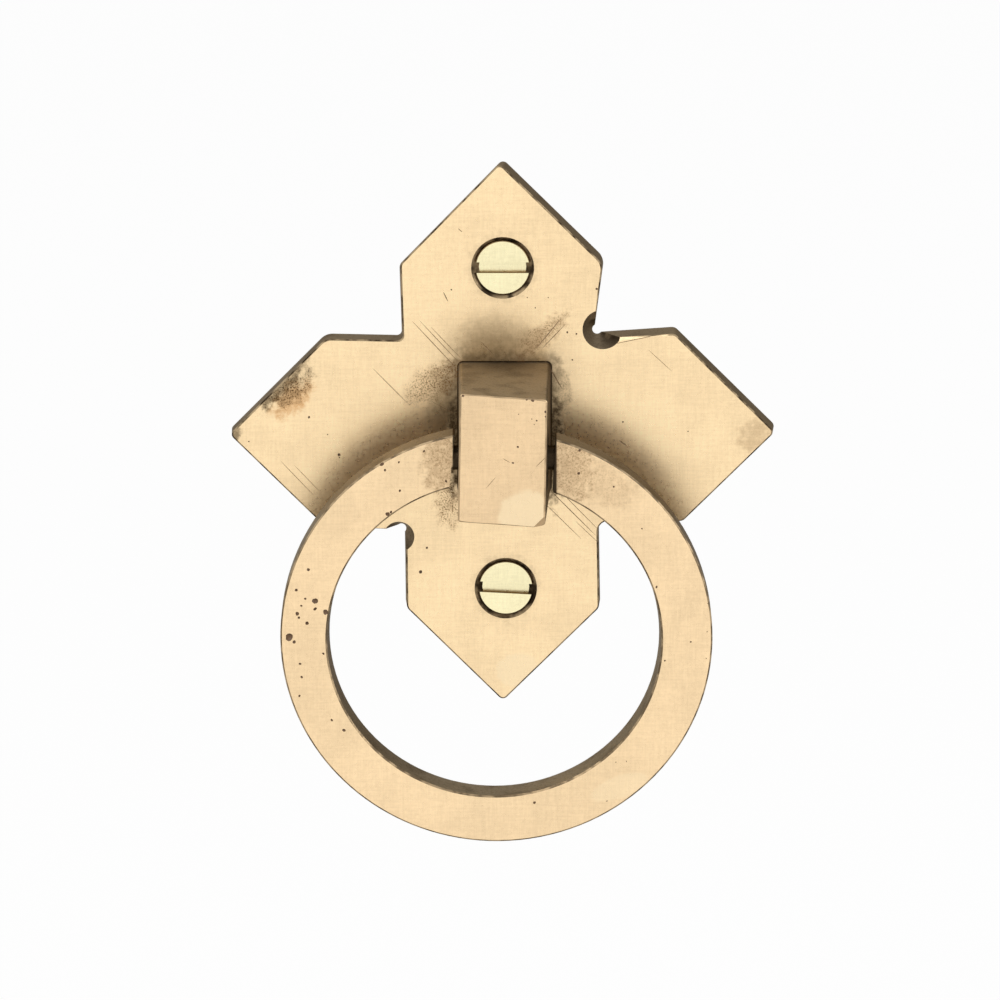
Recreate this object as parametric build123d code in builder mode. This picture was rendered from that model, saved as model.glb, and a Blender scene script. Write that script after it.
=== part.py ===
from build123d import *
from math import cos, radians, sin, sqrt, tan
import os

# Ring pull for a drawer or a cupboard door, in sand-cast and hand-filed brass.
# A flat cross with four pointed arms lies against the wood. A block stands out of its
# middle, and a flat ring, open at the top, swings on two stub pins in a hole through the block.
# Lengths are in millimetres and angles in degrees. X is right and Z is up, as seen by someone
# who faces the drawer. The back of the plate lies at Y = 0, and the pull stands out towards -Y.
# No two sides of the real piece match, so each side keeps a size of its own.

# Backplate: how far each point of the front face reaches from the centre
plate_thickness = 3.4
top_reach = 34.0
right_reach = 33.8
bottom_reach = 34.55
left_reach = 34.0
top_point_x = -0.45
left_point_z = -0.3

# Backplate: how steeply the slants run from the points to the shoulders
slant = 45.0
top_left_slant = 46.0
top_right_slant = 44.7
left_upper_slant = 45.4

# Backplate: half the width of each arm in front, at its shoulders and where it leaves the middle
top_shoulder_left = 12.7
top_shoulder_right = 12.35
top_root_left = 12.4
top_root_right = 11.1
right_shoulder_top = 12.5
right_shoulder_bottom = 11.4
right_root_top = 11.8
right_root_bottom = 11.4
bottom_shoulder_left = 12.0
bottom_shoulder_right = 12.0
bottom_root_left = 12.1
bottom_root_right = 11.8
left_shoulder_top = 11.85
left_shoulder_bottom = 12.1
left_root_top = 11.65
left_root_bottom = 12.5

# Backplate: how the sides lean out towards the back. Some were filed square, and one leans in.
plate_draft = 3.0
top_left_draft = -6.5
top_right_draft = 4.0
left_upper_draft = -0.5

# Backplate: edges
plate_edge_break = 0.18
point_round = 0.7
shoulder_round = 1.0
worn_shoulder_round = 2.0
inner_corner_round = 0.6
blunt_corner_round = 1.3

# Backplate: the two inner corners that a round file cut away on the slant
upper_gouge_radius = 2.5
upper_gouge_out = 1.25
lower_gouge_radius = 1.95
lower_gouge_out = 0.9

# Backplate: the flats that the file left on the edges beside them, widest at the corner
filed_flat_width = 0.55
filed_flat_depth = 0.25
right_flat_length = 9.4
left_flat_length = 4.5
top_flat_length = 3.6

# Block on the plate
block_depth = 18.0
block_foot_width = 11.45
block_foot_height = 16.4
block_nose_width = 10.65
block_nose_height = 16.05
block_centre_x = 0.2
block_centre_z = 0.7
nose_shift = 0.27
nose_drop = 0.2
nose_slope = 4.1
nose_lean = 1.0
block_corner_round = 0.55
nose_corner_round = 0.35
block_edge_break = 0.2
chip_size = 1.55
chip_depth = 1.1
chip_reach = 1.1

# Round tenon of the block, peened over in a countersink at the back of the plate
tenon_diameter = 8.0
peened_head_diameter = 10.4

# Swing axis, measured from the block's middle and from the front of the plate
pivot_drop = 1.6
pivot_standoff = 10.0

# Ring: a flat bar, a little out of round, with its hole a little off centre
ring_thickness = 4.2
ring_width_across = 53.4
ring_height_across = 52.3
hole_width_across = 41.35
hole_height_across = 40.0
hole_shift_x = -0.25
hole_shift_z = -0.3
hole_draft = 3.5
ring_drop = 22.4
ring_skew = 2.6
ring_edge_break = 0.2

# Ring: its open ends beside the block, and the stub pins on them
gap_left = 6.35
gap_right = 6.15
left_end_slant = 3.0
end_corner_round = 1.0
stub_diameter = 3.0
stub_engagement = 2.6
stub_clearance = 0.05

# Two slotted countersunk wood screws. Behind the plain shank comes the thread, drawn at its crests.
screw_length = 19.0
screw_head_diameter = 6.75
screw_head_land = 0.4
screw_shank_diameter = 3.5
screw_plain_length = 6.3
screw_thread_diameter = 3.15
screw_point_length = 4.0
screw_cone_angle = 90.0
slot_width = 1.35
slot_depth = 0.85
screw_hole_clearance = 0.2
countersink_diameter = 7.8
top_screw_x = -0.05
top_screw_inset = 13.15
bottom_screw_x = 0.35
bottom_screw_inset = 14.55
top_slot_turn = 0.0
bottom_slot_turn = 3.0

# Worked out from the sizes above
plate_front = -plate_thickness
screw_places = {
    "screw_top": (top_screw_x, top_reach - top_screw_inset, top_slot_turn),
    "screw_bottom": (bottom_screw_x, bottom_screw_inset - bottom_reach, bottom_slot_turn),
}
cone_seat_depth = (countersink_diameter - screw_head_diameter) / 2 / tan(radians(screw_cone_angle / 2))
screw_sink = cone_seat_depth - screw_head_land
pivot_x = block_centre_x
pivot_y = plate_front - pivot_standoff
pivot_z = block_centre_z - pivot_drop
bore_diameter = stub_diameter + 2 * stub_clearance

os.makedirs("parts", exist_ok=True)


def front_plane(x, y, z):
    """A plane that faces the user, with its own X to the right and its own Y up."""
    return Plane(origin=(x, y, z), x_dir=(1, 0, 0), z_dir=(0, -1, 0))


# Backplate
rise = tan(radians(slant))
top_left_rise = tan(radians(top_left_slant))
top_right_rise = tan(radians(top_right_slant))
left_upper_rise = tan(radians(left_upper_slant))
top_point = (top_point_x, top_reach)
right_point = (right_reach, 0)
bottom_point = (0, -bottom_reach)
left_point = (-left_reach, left_point_z)
top_left = (-top_shoulder_left, top_reach - (top_shoulder_left + top_point_x) * top_left_rise)
top_right = (top_shoulder_right, top_reach - (top_shoulder_right - top_point_x) * top_right_rise)
right_top = (right_reach - right_shoulder_top / rise, right_shoulder_top)
right_bottom = (right_reach - right_shoulder_bottom / rise, -right_shoulder_bottom)
bottom_right = (bottom_shoulder_right, bottom_shoulder_right * rise - bottom_reach)
bottom_left = (-bottom_shoulder_left, bottom_shoulder_left * rise - bottom_reach)
left_bottom = ((left_shoulder_bottom + left_point_z) / rise - left_reach, -left_shoulder_bottom)
left_top = ((left_shoulder_top - left_point_z) / left_upper_rise - left_reach, left_shoulder_top)
inner_upper_left = (-top_root_left, left_root_top)
inner_upper_right = (top_root_right, right_root_top)
inner_lower_right = (bottom_root_right, -right_root_bottom)
inner_lower_left = (-bottom_root_left, -left_root_bottom)
outline = (
    top_point, top_right, inner_upper_right, right_top,
    right_point, right_bottom, inner_lower_right, bottom_right,
    bottom_point, bottom_left, inner_lower_left, left_bottom,
    left_point, left_top, inner_upper_left, top_left,
)

# Each side is named by the corner where it starts, going round from the top point to the right
own_drafts = {
    top_point: top_right_draft,
    left_point: left_upper_draft,
    left_top: left_upper_draft,
    top_left: top_left_draft,
}
corner_rounds = (
    (point_round, (top_point, right_point, bottom_point, left_point)),
    (shoulder_round, (top_left, right_top, right_bottom, bottom_right, bottom_left, left_bottom)),
    (worn_shoulder_round, (top_right, left_top)),
    (inner_corner_round, (inner_upper_left, inner_upper_right, inner_lower_left)),
    (blunt_corner_round, (inner_lower_right,)),
)

with BuildPart() as backplate:
    with BuildSketch(front_plane(0, plate_front, 0)):
        with BuildLine():
            Polyline(*outline, close=True)
        make_face()
    extrude(amount=-plate_thickness)
    for start, end in zip(outline, outline[1:] + outline[:1]):
        middle = ((start[0] + end[0]) / 2, plate_front / 2, (start[1] + end[1]) / 2)
        side = backplate.faces().sort_by_distance(middle)[0]
        draft(side, front_plane(0, plate_front, 0), own_drafts.get(start, plate_draft))
    for corner_radius, corners in corner_rounds:
        for x, z in corners:
            fillet(backplate.edges().sort_by_distance((x, plate_front / 2, z))[0], corner_radius)
    chamfer(backplate.faces().sort_by(Axis.Y)[0].edges(), plate_edge_break)

    # A round file held on the slant: nothing taken off at the back, a full bite at the front
    gouges = (
        (inner_upper_right, 1, upper_gouge_radius, upper_gouge_out),
        (inner_lower_left, -1, lower_gouge_radius, lower_gouge_out),
    )
    for (corner_x, corner_z), side, gouge_radius, gouge_out in gouges:
        with BuildSketch(front_plane(corner_x, 0, corner_z)):
            with Locations((side * inner_corner_round, side * inner_corner_round)):
                Circle(inner_corner_round)
        with BuildSketch(front_plane(corner_x, plate_front, corner_z)):
            with Locations((side * gouge_out, side * gouge_out)):
                Circle(gouge_radius)
        loft(mode=Mode.SUBTRACT)

    # The flats beside them: each starts at nothing, out along the arm, and widens to the corner.
    # "off" points from the metal into the open, square to the edge that was filed.
    filed_flats = (
        (inner_upper_right, right_top, upper_gouge_out, right_flat_length, Vector(0, 0, 1)),
        (inner_upper_right, top_right, upper_gouge_out, top_flat_length, Vector(1, 0, 0)),
        (inner_lower_left, left_bottom, lower_gouge_out, left_flat_length, Vector(0, 0, -1)),
    )
    for inner, outer, gouge_out, flat_length, off in filed_flats:
        corner = Vector(inner[0], plate_front, inner[1])
        edge = (Vector(outer[0], plate_front, outer[1]) - corner).normalized()
        wide_end = corner + edge * gouge_out - off * filed_flat_width
        thin_end = corner + edge * (gouge_out + flat_length)
        along = wide_end - thin_end
        with BuildSketch(Plane(origin=thin_end, x_dir=(0, -1, 0), z_dir=along)) as flat_section:
            open_side = 2 * filed_flat_width
            if flat_section.workplanes[0].y_dir.dot(off) < 0:
                open_side = -open_side
            Polygon(
                (0, 0),
                (-2 * filed_flat_depth, open_side),
                (filed_flat_width, open_side),
                (filed_flat_width, 0),
                align=None,
            )
        extrude(amount=along.length, mode=Mode.SUBTRACT)

    for screw_x, screw_z, _ in screw_places.values():
        with Locations(front_plane(screw_x, plate_front, screw_z)):
            CounterSinkHole(
                radius=screw_shank_diameter / 2 + screw_hole_clearance,
                counter_sink_radius=countersink_diameter / 2,
                counter_sink_angle=screw_cone_angle,
            )
    with Locations(Plane(origin=(block_centre_x, 0, block_centre_z), z_dir=(0, 1, 0))):
        CounterSinkHole(
            radius=tenon_diameter / 2,
            counter_sink_radius=peened_head_diameter / 2,
            counter_sink_angle=90,
        )
backplate.part.label = "backplate"
export_step(backplate.part, "parts/backplate.step")

# Block with its tenon
nose_x = block_centre_x - nose_shift
nose_y = plate_front - block_depth
nose_z = block_centre_z - nose_drop
half_nose_width = block_nose_width / 2
half_nose_height = block_nose_height / 2
slope_rise = half_nose_width * tan(radians(nose_slope))
lean_shift = half_nose_height * tan(radians(nose_lean))
nose_corners = (
    (half_nose_width + lean_shift, half_nose_height - slope_rise),
    (-half_nose_width + lean_shift, half_nose_height + slope_rise),
    (-half_nose_width - lean_shift, -half_nose_height + slope_rise),
    (half_nose_width - lean_shift, -half_nose_height - slope_rise),
)

with BuildPart() as block:
    with BuildSketch(front_plane(block_centre_x, plate_front, block_centre_z)) as foot:
        Rectangle(block_foot_width, block_foot_height)
        fillet(foot.vertices(), block_corner_round)
    with BuildSketch(front_plane(nose_x, nose_y, nose_z)) as nose:
        Polygon(*nose_corners, align=None)
        fillet(nose.vertices(), nose_corner_round)
    loft(ruled=True)
    chamfer(block.faces().sort_by(Axis.Y)[0].edges(), block_edge_break)

    # The lower right corner of the nose is knocked off
    chip_x = nose_x + nose_corners[3][0]
    chip_z = nose_z + nose_corners[3][1]
    chip_plane = Plane(
        origin=(chip_x - chip_size, nose_y, chip_z),
        x_dir=(chip_size, 0, chip_size),
        z_dir=(chip_depth, -chip_reach, -chip_depth),
    )
    split(bisect_by=chip_plane, keep=Keep.BOTTOM)

    # Tenon, and the head peened over in the countersink
    with Locations(Plane(origin=(block_centre_x, 0, block_centre_z), z_dir=(0, -1, 0))):
        Cylinder(tenon_diameter / 2, plate_thickness, align=(Align.CENTER, Align.CENTER, Align.MIN))
        Cone(
            peened_head_diameter / 2,
            tenon_diameter / 2,
            (peened_head_diameter - tenon_diameter) / 2,
            align=(Align.CENTER, Align.CENTER, Align.MIN),
        )

    with Locations(Plane(origin=(pivot_x, pivot_y, pivot_z), z_dir=(1, 0, 0))):
        Hole(bore_diameter / 2)
block.part.label = "block"
export_step(block.part, "parts/block.step")

# Ring, drawn in its own plane with the swing axis as origin
ring_back = pivot_y + ring_thickness / 2
ring_plane = Plane(
    origin=(pivot_x, ring_back, pivot_z),
    x_dir=(cos(radians(ring_skew)), 0, -sin(radians(ring_skew))),
    z_dir=(0, -1, 0),
)
hole_taper = ring_thickness * tan(radians(hole_draft))
ring_bar_width = (ring_height_across - hole_height_across) / 2
hole_centre = (hole_shift_x, -ring_drop + hole_shift_z)
back_hole_half_width = hole_width_across / 2 - hole_taper
back_hole_half_height = hole_height_across / 2 - hole_taper


def hole_top(x):
    """How high the upper edge of the ring's hole lies at x, at the back of the ring."""
    share = (x - hole_centre[0]) / back_hole_half_width
    return hole_centre[1] + back_hole_half_height * sqrt(1 - share**2)


with BuildPart() as ring:
    with BuildSketch(ring_plane):
        with Locations((0, -ring_drop)):
            Ellipse(ring_width_across / 2, ring_height_across / 2)
    extrude(amount=ring_thickness)

    # The hole is a little larger at the front, as it left the mould
    with BuildSketch(ring_plane):
        with Locations(hole_centre):
            Ellipse(back_hole_half_width, back_hole_half_height)
    with BuildSketch(ring_plane.offset(ring_thickness)):
        with Locations(hole_centre):
            Ellipse(hole_width_across / 2, hole_height_across / 2)
    loft(mode=Mode.SUBTRACT)
    for flat in (ring.faces().sort_by(Axis.Y)[0], ring.faces().sort_by(Axis.Y)[-1]):
        chamfer(flat.edges(), ring_edge_break)

    # The opening that clears the block. Its left side leans, and the ring's end is rounded there.
    top_left_x = -gap_left + tan(radians(left_end_slant)) * ring_height_across / 2
    low_left_x = -gap_left - tan(radians(left_end_slant)) * ring_bar_width
    flare_x = low_left_x - 3 * end_corner_round
    with BuildSketch(ring_plane) as opening:
        with BuildLine():
            Polyline(
                (top_left_x, ring_height_across / 2),
                (low_left_x, hole_top(low_left_x)),
                (flare_x, hole_top(flare_x)),
                (flare_x, -ring_drop),
                (gap_right, -ring_drop),
                (gap_right, ring_height_across / 2),
                close=True,
            )
        make_face()
        end_corner = (low_left_x, hole_top(low_left_x))
        fillet(opening.vertices().sort_by_distance(end_corner)[0], end_corner_round)
    extrude(amount=ring_thickness, mode=Mode.SUBTRACT)

    # Stub pins, turned on the ends, that spring into the hole through the block
    stub_inner_end = block_foot_width / 2 - stub_engagement
    for side, gap in ((-1, gap_left), (1, gap_right)):
        stub_length = gap + stub_diameter / 2 - stub_inner_end
        with Locations(Plane(origin=(pivot_x + side * stub_inner_end, pivot_y, pivot_z), z_dir=(side, 0, 0))):
            Cylinder(stub_diameter / 2, stub_length, align=(Align.CENTER, Align.CENTER, Align.MIN))
ring.part.label = "ring"
export_step(ring.part, "parts/ring.step")

# Wood screws
half_cone = tan(radians(screw_cone_angle / 2))
head_radius = screw_head_diameter / 2
shank_radius = screw_shank_diameter / 2
thread_radius = screw_thread_diameter / 2
head_height = screw_head_land + (head_radius - shank_radius) / half_cone

for screw_name, (screw_x, screw_z, slot_turn) in screw_places.items():
    head_y = plate_front + screw_sink
    with BuildPart() as screw:
        with BuildSketch(Plane(origin=(screw_x, head_y, screw_z), x_dir=(1, 0, 0), z_dir=(0, 0, 1))):
            with BuildLine():
                Polyline(
                    (0, 0),
                    (head_radius, 0),
                    (head_radius, screw_head_land),
                    (shank_radius, head_height),
                    (shank_radius, screw_plain_length),
                    (thread_radius, screw_plain_length),
                    (thread_radius, screw_length - screw_point_length),
                    (0, screw_length),
                    close=True,
                )
            make_face()
        revolve(axis=Axis((screw_x, head_y, screw_z), (0, 1, 0)))
        with BuildSketch(front_plane(screw_x, head_y, screw_z)):
            Rectangle(2 * screw_head_diameter, slot_width, rotation=-slot_turn)
        extrude(amount=-slot_depth, mode=Mode.SUBTRACT)
    screw.part.label = screw_name
    export_step(screw.part, f"parts/{screw_name}.step")
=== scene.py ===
import math
import random

import bmesh
import bpy
from mathutils import Matrix, Vector


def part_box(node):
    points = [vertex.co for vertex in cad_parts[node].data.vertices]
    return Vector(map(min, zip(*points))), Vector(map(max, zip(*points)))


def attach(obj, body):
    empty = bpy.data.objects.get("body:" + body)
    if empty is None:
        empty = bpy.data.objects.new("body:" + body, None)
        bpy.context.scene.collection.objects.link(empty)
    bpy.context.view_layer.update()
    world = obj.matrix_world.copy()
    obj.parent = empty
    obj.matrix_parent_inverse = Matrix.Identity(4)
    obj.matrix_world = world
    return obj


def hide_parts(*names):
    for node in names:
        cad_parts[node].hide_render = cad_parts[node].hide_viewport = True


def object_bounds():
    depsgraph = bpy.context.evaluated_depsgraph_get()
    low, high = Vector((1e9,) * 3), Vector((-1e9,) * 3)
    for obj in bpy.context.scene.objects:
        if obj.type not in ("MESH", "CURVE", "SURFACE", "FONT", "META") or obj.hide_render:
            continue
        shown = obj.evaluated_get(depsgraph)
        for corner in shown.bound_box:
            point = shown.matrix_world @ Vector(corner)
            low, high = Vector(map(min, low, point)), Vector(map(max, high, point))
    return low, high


# Looks of a brass ring pull: filed and worn brass on a plate, its block, its ring and two wood screws.
# Lengths are in millimetres and are turned into metres where Blender takes them. The axes are the
# frame's own: X to the right, Z up, and the pull stands out towards -Y.
MM = 0.001

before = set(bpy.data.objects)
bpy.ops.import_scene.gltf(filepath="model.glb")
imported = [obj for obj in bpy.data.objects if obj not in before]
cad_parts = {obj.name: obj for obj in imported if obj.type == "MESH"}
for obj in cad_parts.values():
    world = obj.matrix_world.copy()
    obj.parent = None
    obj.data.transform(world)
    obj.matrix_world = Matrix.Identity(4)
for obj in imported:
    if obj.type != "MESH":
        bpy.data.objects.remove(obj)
bpy.context.view_layer.update()
cad_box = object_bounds()

# Camera: as far off and as high as the one that took the picture
CAMERA_ELEVATION = 13.5
CAMERA_DISTANCE = 1000.0
CAMERA_TARGET = (-0.375, 0.0, -9.49)
VIEW_WIDTH = 125.0
SENSOR_WIDTH = 36.0
CAMERA_REACH = 100000.0

# Stage: a pale floor, mostly plain white where it is seen directly, a white world that lights the
# object more softly than it looks, and two lamps, each with its place, size and power
FLOOR_DROP = 75.0
FLOOR_RADIUS = 6000.0
FLOOR_SIDES = 96
FLOOR_GREY = (0.9, 0.9, 0.9, 1.0)
FLOOR_ROUGHNESS = 0.9
FLOOR_GLOSS = 0.1
FLOOR_WHITE_SHARE = 0.94
WHITE = (1.0, 1.0, 1.0, 1.0)
WORLD_LIGHT = 0.6
SOFT_LAMPS = {
    "soft light from the upper left": ((-700.0, -900.0, 900.0), 700.0, 9.0),
    "soft light from the right": ((900.0, -500.0, 300.0), 600.0, 4.0),
}

# Colours, as red, green and blue from 0 to 255
PLATE_BRASS = (254, 225, 179)
BLOCK_BRASS = (239, 208, 165)
RING_BRASS = (248, 218, 174)
# Pale brass of the painted highlights
PAINTED_HIGHLIGHT_BRASS = (251, 228, 187)
SCREW_BRASS = (253, 242, 197)
PLATE_SKIN = (128, 114, 94)
BLOCK_SKIN = (158, 143, 120)
RING_SKIN = (142, 130, 111)
# Dark brown of the skin, also the colour of the painted shade
DARK_SKIN_AND_SHADE = (62, 51, 38)
PLATE_BACK = (150, 122, 84)
TENON_BACK = (196, 164, 116)
RING_BACK = (112, 98, 76)
BACK_SHADOW = (92, 75, 52)
# Dark brown of the stains, also used for painted shade in the gaps beside the block
GRIME_AND_SHADE = (64, 47, 24)
BROWN_GRIME = (122, 84, 44)
# Brown of the painted dark reflections and shade next to the block
PAINTED_DARK_REFLECTION = (98, 76, 46)
OCHRE_STAIN = (214, 158, 98)
SPECK_BROWN = (150, 120, 84)
PIT_DIRT = (100, 72, 44)
SCRATCH_BROWN = (130, 100, 64)

# Names of the cast pieces' finishes
PLATE_FINISH = "filed brass plate"
BLOCK_FINISH = "filed brass block"
RING_FINISH = "filed brass ring"

# The metal's tint at a grazing angle, and the depth of the fine relief of each finish
METAL_RIM_TINT = (0.45, 0.42, 0.38, 1.0)
FILED_RELIEF = 0.007
TURNED_RELIEF = 0.01
DIRT_RELIEF = 0.01

# How dark the dirt on the broken edges of each cast piece is, which on the walls of the plate's
# countersinks is painted shade, and how dark the painted shade on the right-hand walls is, from 0 to 1
PLATE_EDGE_DIRT_AND_SHADE = 1.0
BLOCK_EDGE_DIRT = 0.6
RING_EDGE_DIRT = 0.9
PLATE_RIGHT_SHADE = 0.45
BLOCK_RIGHT_SHADE = 0.75
RING_RIGHT_SHADE = 0.55

# Where a normal starts to count as one kind of surface, and where it counts in full. The front
# and its broken edge look towards -Y, the back towards +Y, and the right-hand walls towards +X.
FRONT_LEAN = (-0.76, -0.88)
EDGE_LEAN = (-0.35, -0.6)
BACK_LEAN = (0.80, 0.97)
RIGHT_LEAN = (0.1, 0.8)

# Edges bent by more degrees than this are crisp, and corners closer than this are joined into one
CRISP_EDGE_ANGLE = 25.0
WELD_REACH = 0.001

# Filed brass: lumps to a millimetre, how far each kind of lump changes the tone, how rough it is,
# and what the file lines and the grain add to the relief. The specks' size is a share of a cell.
FILED_CLOUDS = 0.16
FILED_GRAIN = 2.4
LINES_ACROSS = (0.35, 1.0, 5.0)
LINES_UPRIGHT = (5.0, 1.0, 0.35)
CLOUD_TONES = (0.96, 1.03)
LINE_TONES = (0.95, 1.035)
GRAIN_TONES = (0.965, 1.025)
SPECK_CELLS = 0.9
SPECK_CLOUDS = 0.22
SPECK_CORE = 0.4
SPECKS = 0.03
FILED_ROUGHNESS = (0.27, 0.32)
LINE_RELIEF = 0.7
GRAIN_RELIEF = 0.3

# Brown skin: lumps to a millimetre, how much dark brown each kind brings, and how rough it is
SKIN_SPECKLES = 3.2
SKIN_CLOUDS = 0.35
SPECKLE_SHARE = 0.4
CLOUD_SHARE = 0.35
SKIN_ROUGHNESS = (0.42, 0.6)

# What breaks up the stains: lumps to a millimetre of the ragged rim, the grains and the clouds,
# how far the rim wanders, how much stain lies between the grains, and the least share of its dirt
# that a worn edge keeps
RIM_LUMPS = 0.9
RIM_WANDER = 0.5
STAIN_GRAINS = 5.0
STAIN_CLOUDS = 0.6
STAIN_BODY = (0.05, 0.35)
LEAST_EDGE_DIRT = 0.7

# Wood screws
SCREW_NODES = ("screw_top", "screw_bottom")
SCREW_HEAD = 6.75
SCREW_HEAD_LAND = 0.4
SCREW_RIM_BREAK = 0.08
SCREW_SHANK = 3.5
SCREW_PLAIN_LENGTH = 6.3
SCREW_THREAD = 3.15
SCREW_THREAD_DEPTH = 0.42
SCREW_THREAD_PITCH = 1.41
SCREW_POINT_LENGTH = 4.0
SLOT_WIDTH = 1.35
SLOT_DEPTH = 0.85
SLOT_TURNS = {"screw_top": 0.0, "screw_bottom": 3.0}
SCREW_SIDES = 48
STEPS_PER_TURN = 12
HEAD_CENTRE_RADIUS = 0.01
HEAD_MIDDLE_SHARE = 0.6
TOOTH_HALF_WIDTH = 0.22
DEEPEST_TOOTH_SHARE = 0.6

# Grime and painted shade on the plate: a crisp dark line and a soft rim of painted shade round the
# foot of the block, and a soft rim of grime round each screw hole
FOOT_CENTRE = (0.2, 0.7)
FOOT_HALF_SIZE = (5.18, 7.65)
FOOT_CORNER_ROUND = 0.55
FOOT_SHADE_REACH = 2.2
FOOT_LINE = 1.0
FOOT_SHADE = 0.5
COUNTERSINK_RADIUS = 3.9
HOLE_GRIME_REACH = 0.9
HOLE_GRIME = 0.14
LINE_REACH = (0.26, 0.12)
SOFT_RIM_START = -0.2
FACE_HALF_DEPTH = 1.0

# Painted shade on the walls of the block, which climbs from the plate, and on the ring's pins and ends
# next to the block
CLIMB_REACH = 9.0
CLIMB_SHADE = 0.6
CLIMB_MIDDLE = 0.5
CLIMB_AT_CORNERS = 0.25
PIVOT_ACROSS = 0.2
PIN_REACH = 6.4
PIN_SOFTNESS = 0.1
ENDS_BOTTOM = -12.8
ENDS_SOFTNESS = 1.0

# Casting pits and knocks, each as across, up, width and depth. Their lumps vary at random.
PIT_FLATNESS = 0.6
PIT_DETAIL = 2
PIT_WIDTHS = (0.85, 1.15)
PIT_HEIGHTS = (0.7, 1.0)
PIT_BUMPS = (0.85, 1.1)
PLATE_SEED = 3
BLOCK_SEED = 5
RING_SEED = 7
RING_PITS = (
    (-24.0, -14.6, 0.45, 0.25), (-25.5, -17.2, 0.4, 0.2), (-23.2, -18.6, 0.75, 0.35),
    (-23.2, -19.6, 0.5, 0.3), (-24.4, -18.3, 0.35, 0.2), (-24.9, -19.2, 0.35, 0.2),
    (-25.4, -20.2, 0.5, 0.3), (-25.2, -20.7, 0.4, 0.25), (-24.2, -21.4, 0.55, 0.3),
    (-26.4, -23.2, 1.0, 0.45), (-25.8, -23.8, 0.45, 0.25), (-22.2, -25.3, 0.35, 0.2),
    (-25.1, -26.6, 0.35, 0.2), (-24.9, -28.3, 0.4, 0.2), (-25.2, -30.7, 0.35, 0.2),
    (-19.7, -35.1, 0.5, 0.25), (-21.2, -33.8, 0.35, 0.2), (-12.8, -1.0, 0.3, 0.15),
    (-14.5, -2.0, 0.4, 0.2), (-9.7, 0.4, 0.35, 0.2), (-12.7, -4.6, 0.35, 0.2),
    (-7.0, -3.4, 0.35, 0.2), (9.3, -2.4, 0.4, 0.2), (13.6, -4.1, 0.3, 0.15),
    (13.0, -0.6, 0.8, 0.3), (-14.9, -1.2, 0.6, 0.3), (-13.6, -0.2, 0.5, 0.3),
    (-21.9, -20.0, 0.8, 0.3), (-14.2, -7.55, 0.55, 0.25), (-13.8, -7.3, 0.4, 0.2),
    (18.93, -16.8, 0.35, 0.15), (23.2, -23.8, 0.28, 0.15), (20.0, -26.2, 0.26, 0.15),
    (25.3, -18.9, 0.18, 0.1), (25.2, -22.5, 0.16, 0.1), (25.1, -25.9, 0.16, 0.1),
    (17.1, -9.4, 0.22, 0.12), (9.4, 0.5, 0.35, 0.12), (3.9, -44.4, 0.4, 0.2),
    (12.9, -44.2, 0.2, 0.1), (14.0, -39.2, 0.16, 0.08), (15.3, -39.1, 0.16, 0.08),
    (5.6, -41.85, 0.35, 0.12), (7.4, -41.3, 0.35, 0.12), (9.1, -40.7, 0.35, 0.12),
    (10.7, -39.9, 0.35, 0.12),
)
PLATE_PITS = (
    (7.96, 12.7, 0.3, 0.2), (9.1, 12.5, 0.26, 0.15), (8.6, 9.2, 0.28, 0.15),
    (-10.3, -17.9, 0.5, 0.2), (-9.5, -14.8, 0.3, 0.15), (-20.4, -2.9, 0.42, 0.25),
    (-20.35, -3.25, 0.2, 0.15), (-24.1, 1.9, 0.3, 0.15), (-21.8, -0.3, 0.2, 0.1),
    (-31.6, -1.2, 0.2, 0.1), (14.9, 1.3, 0.26, 0.15), (23.0, 0.1, 0.22, 0.1),
    (3.0, 17.1, 0.16, 0.1), (4.0, 15.8, 0.2, 0.1), (5.6, 17.1, 0.16, 0.1),
    (1.7, 17.4, 0.16, 0.1), (-6.4, 18.1, 0.22, 0.1), (11.6, 18.2, 0.35, 0.15),
    (-10.4, 24.2, 0.4, 0.2), (-4.7, 30.5, 0.25, 0.15), (-12.4, 13.6, 0.4, 0.2),
)
BLOCK_PITS = (
    (4.1, 5.6, 0.22, 0.12), (3.5, 5.8, 0.16, 0.1), (3.8, 5.1, 0.16, 0.1),
    (1.9, 6.4, 0.14, 0.08), (1.8, 2.3, 0.28, 0.15), (1.2, 0.3, 0.3, 0.1),
    (3.6, 8.16, 0.5, 0.2), (2.9, 8.24, 0.3, 0.15), (-4.9, 8.75, 0.5, 0.25),
    (5.2, 6.7, 0.4, 0.2), (5.2, 6.1, 0.3, 0.15), (-2.8, -7.65, 0.8, 0.15),
    (-1.9, -7.75, 0.5, 0.15),
)

# Stains, painted dark reflections, painted shade and painted highlights on the fronts, each as across,
# up, half length, half width, turn in degrees, strength from 0 to 1, and how mottled from 0 to 1
PLATE_STAINS_AND_SHADE = (
    (-27.3, 5.9, 4.3, 1.3, 45.0, 1.0, 0.4),
    (-26.3, 5.6, 3.4, 2.0, 45.0, 1.0, 0.8),
    (7.1, 5.6, 1.4, 4.4, 10.0, 0.45, 0.7),
    (-33.6, -0.5, 1.4, 0.9, 45.0, 0.8, 0.2),
    # The next two are painted shade on the plate in the gaps between the block and the ring's ends
    (6.4, -2.0, 1.3, 7.5, 0.0, 1.0, 0.25),
    (-6.0, -2.0, 1.1, 6.5, 0.0, 1.0, 0.25),
)
PLATE_BROWN_STAINS = (
    (-8.6, 6.3, 4.4, 2.2, 32.0, 0.85, 1.0),
    (-6.8, -8.8, 1.9, 3.6, 0.0, 0.85, 1.0),
    (4.6, 12.0, 4.8, 1.5, 42.0, 0.8, 0.8),
    (31.6, -0.6, 2.6, 2.2, 0.0, 0.35, 0.3),
)
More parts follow.
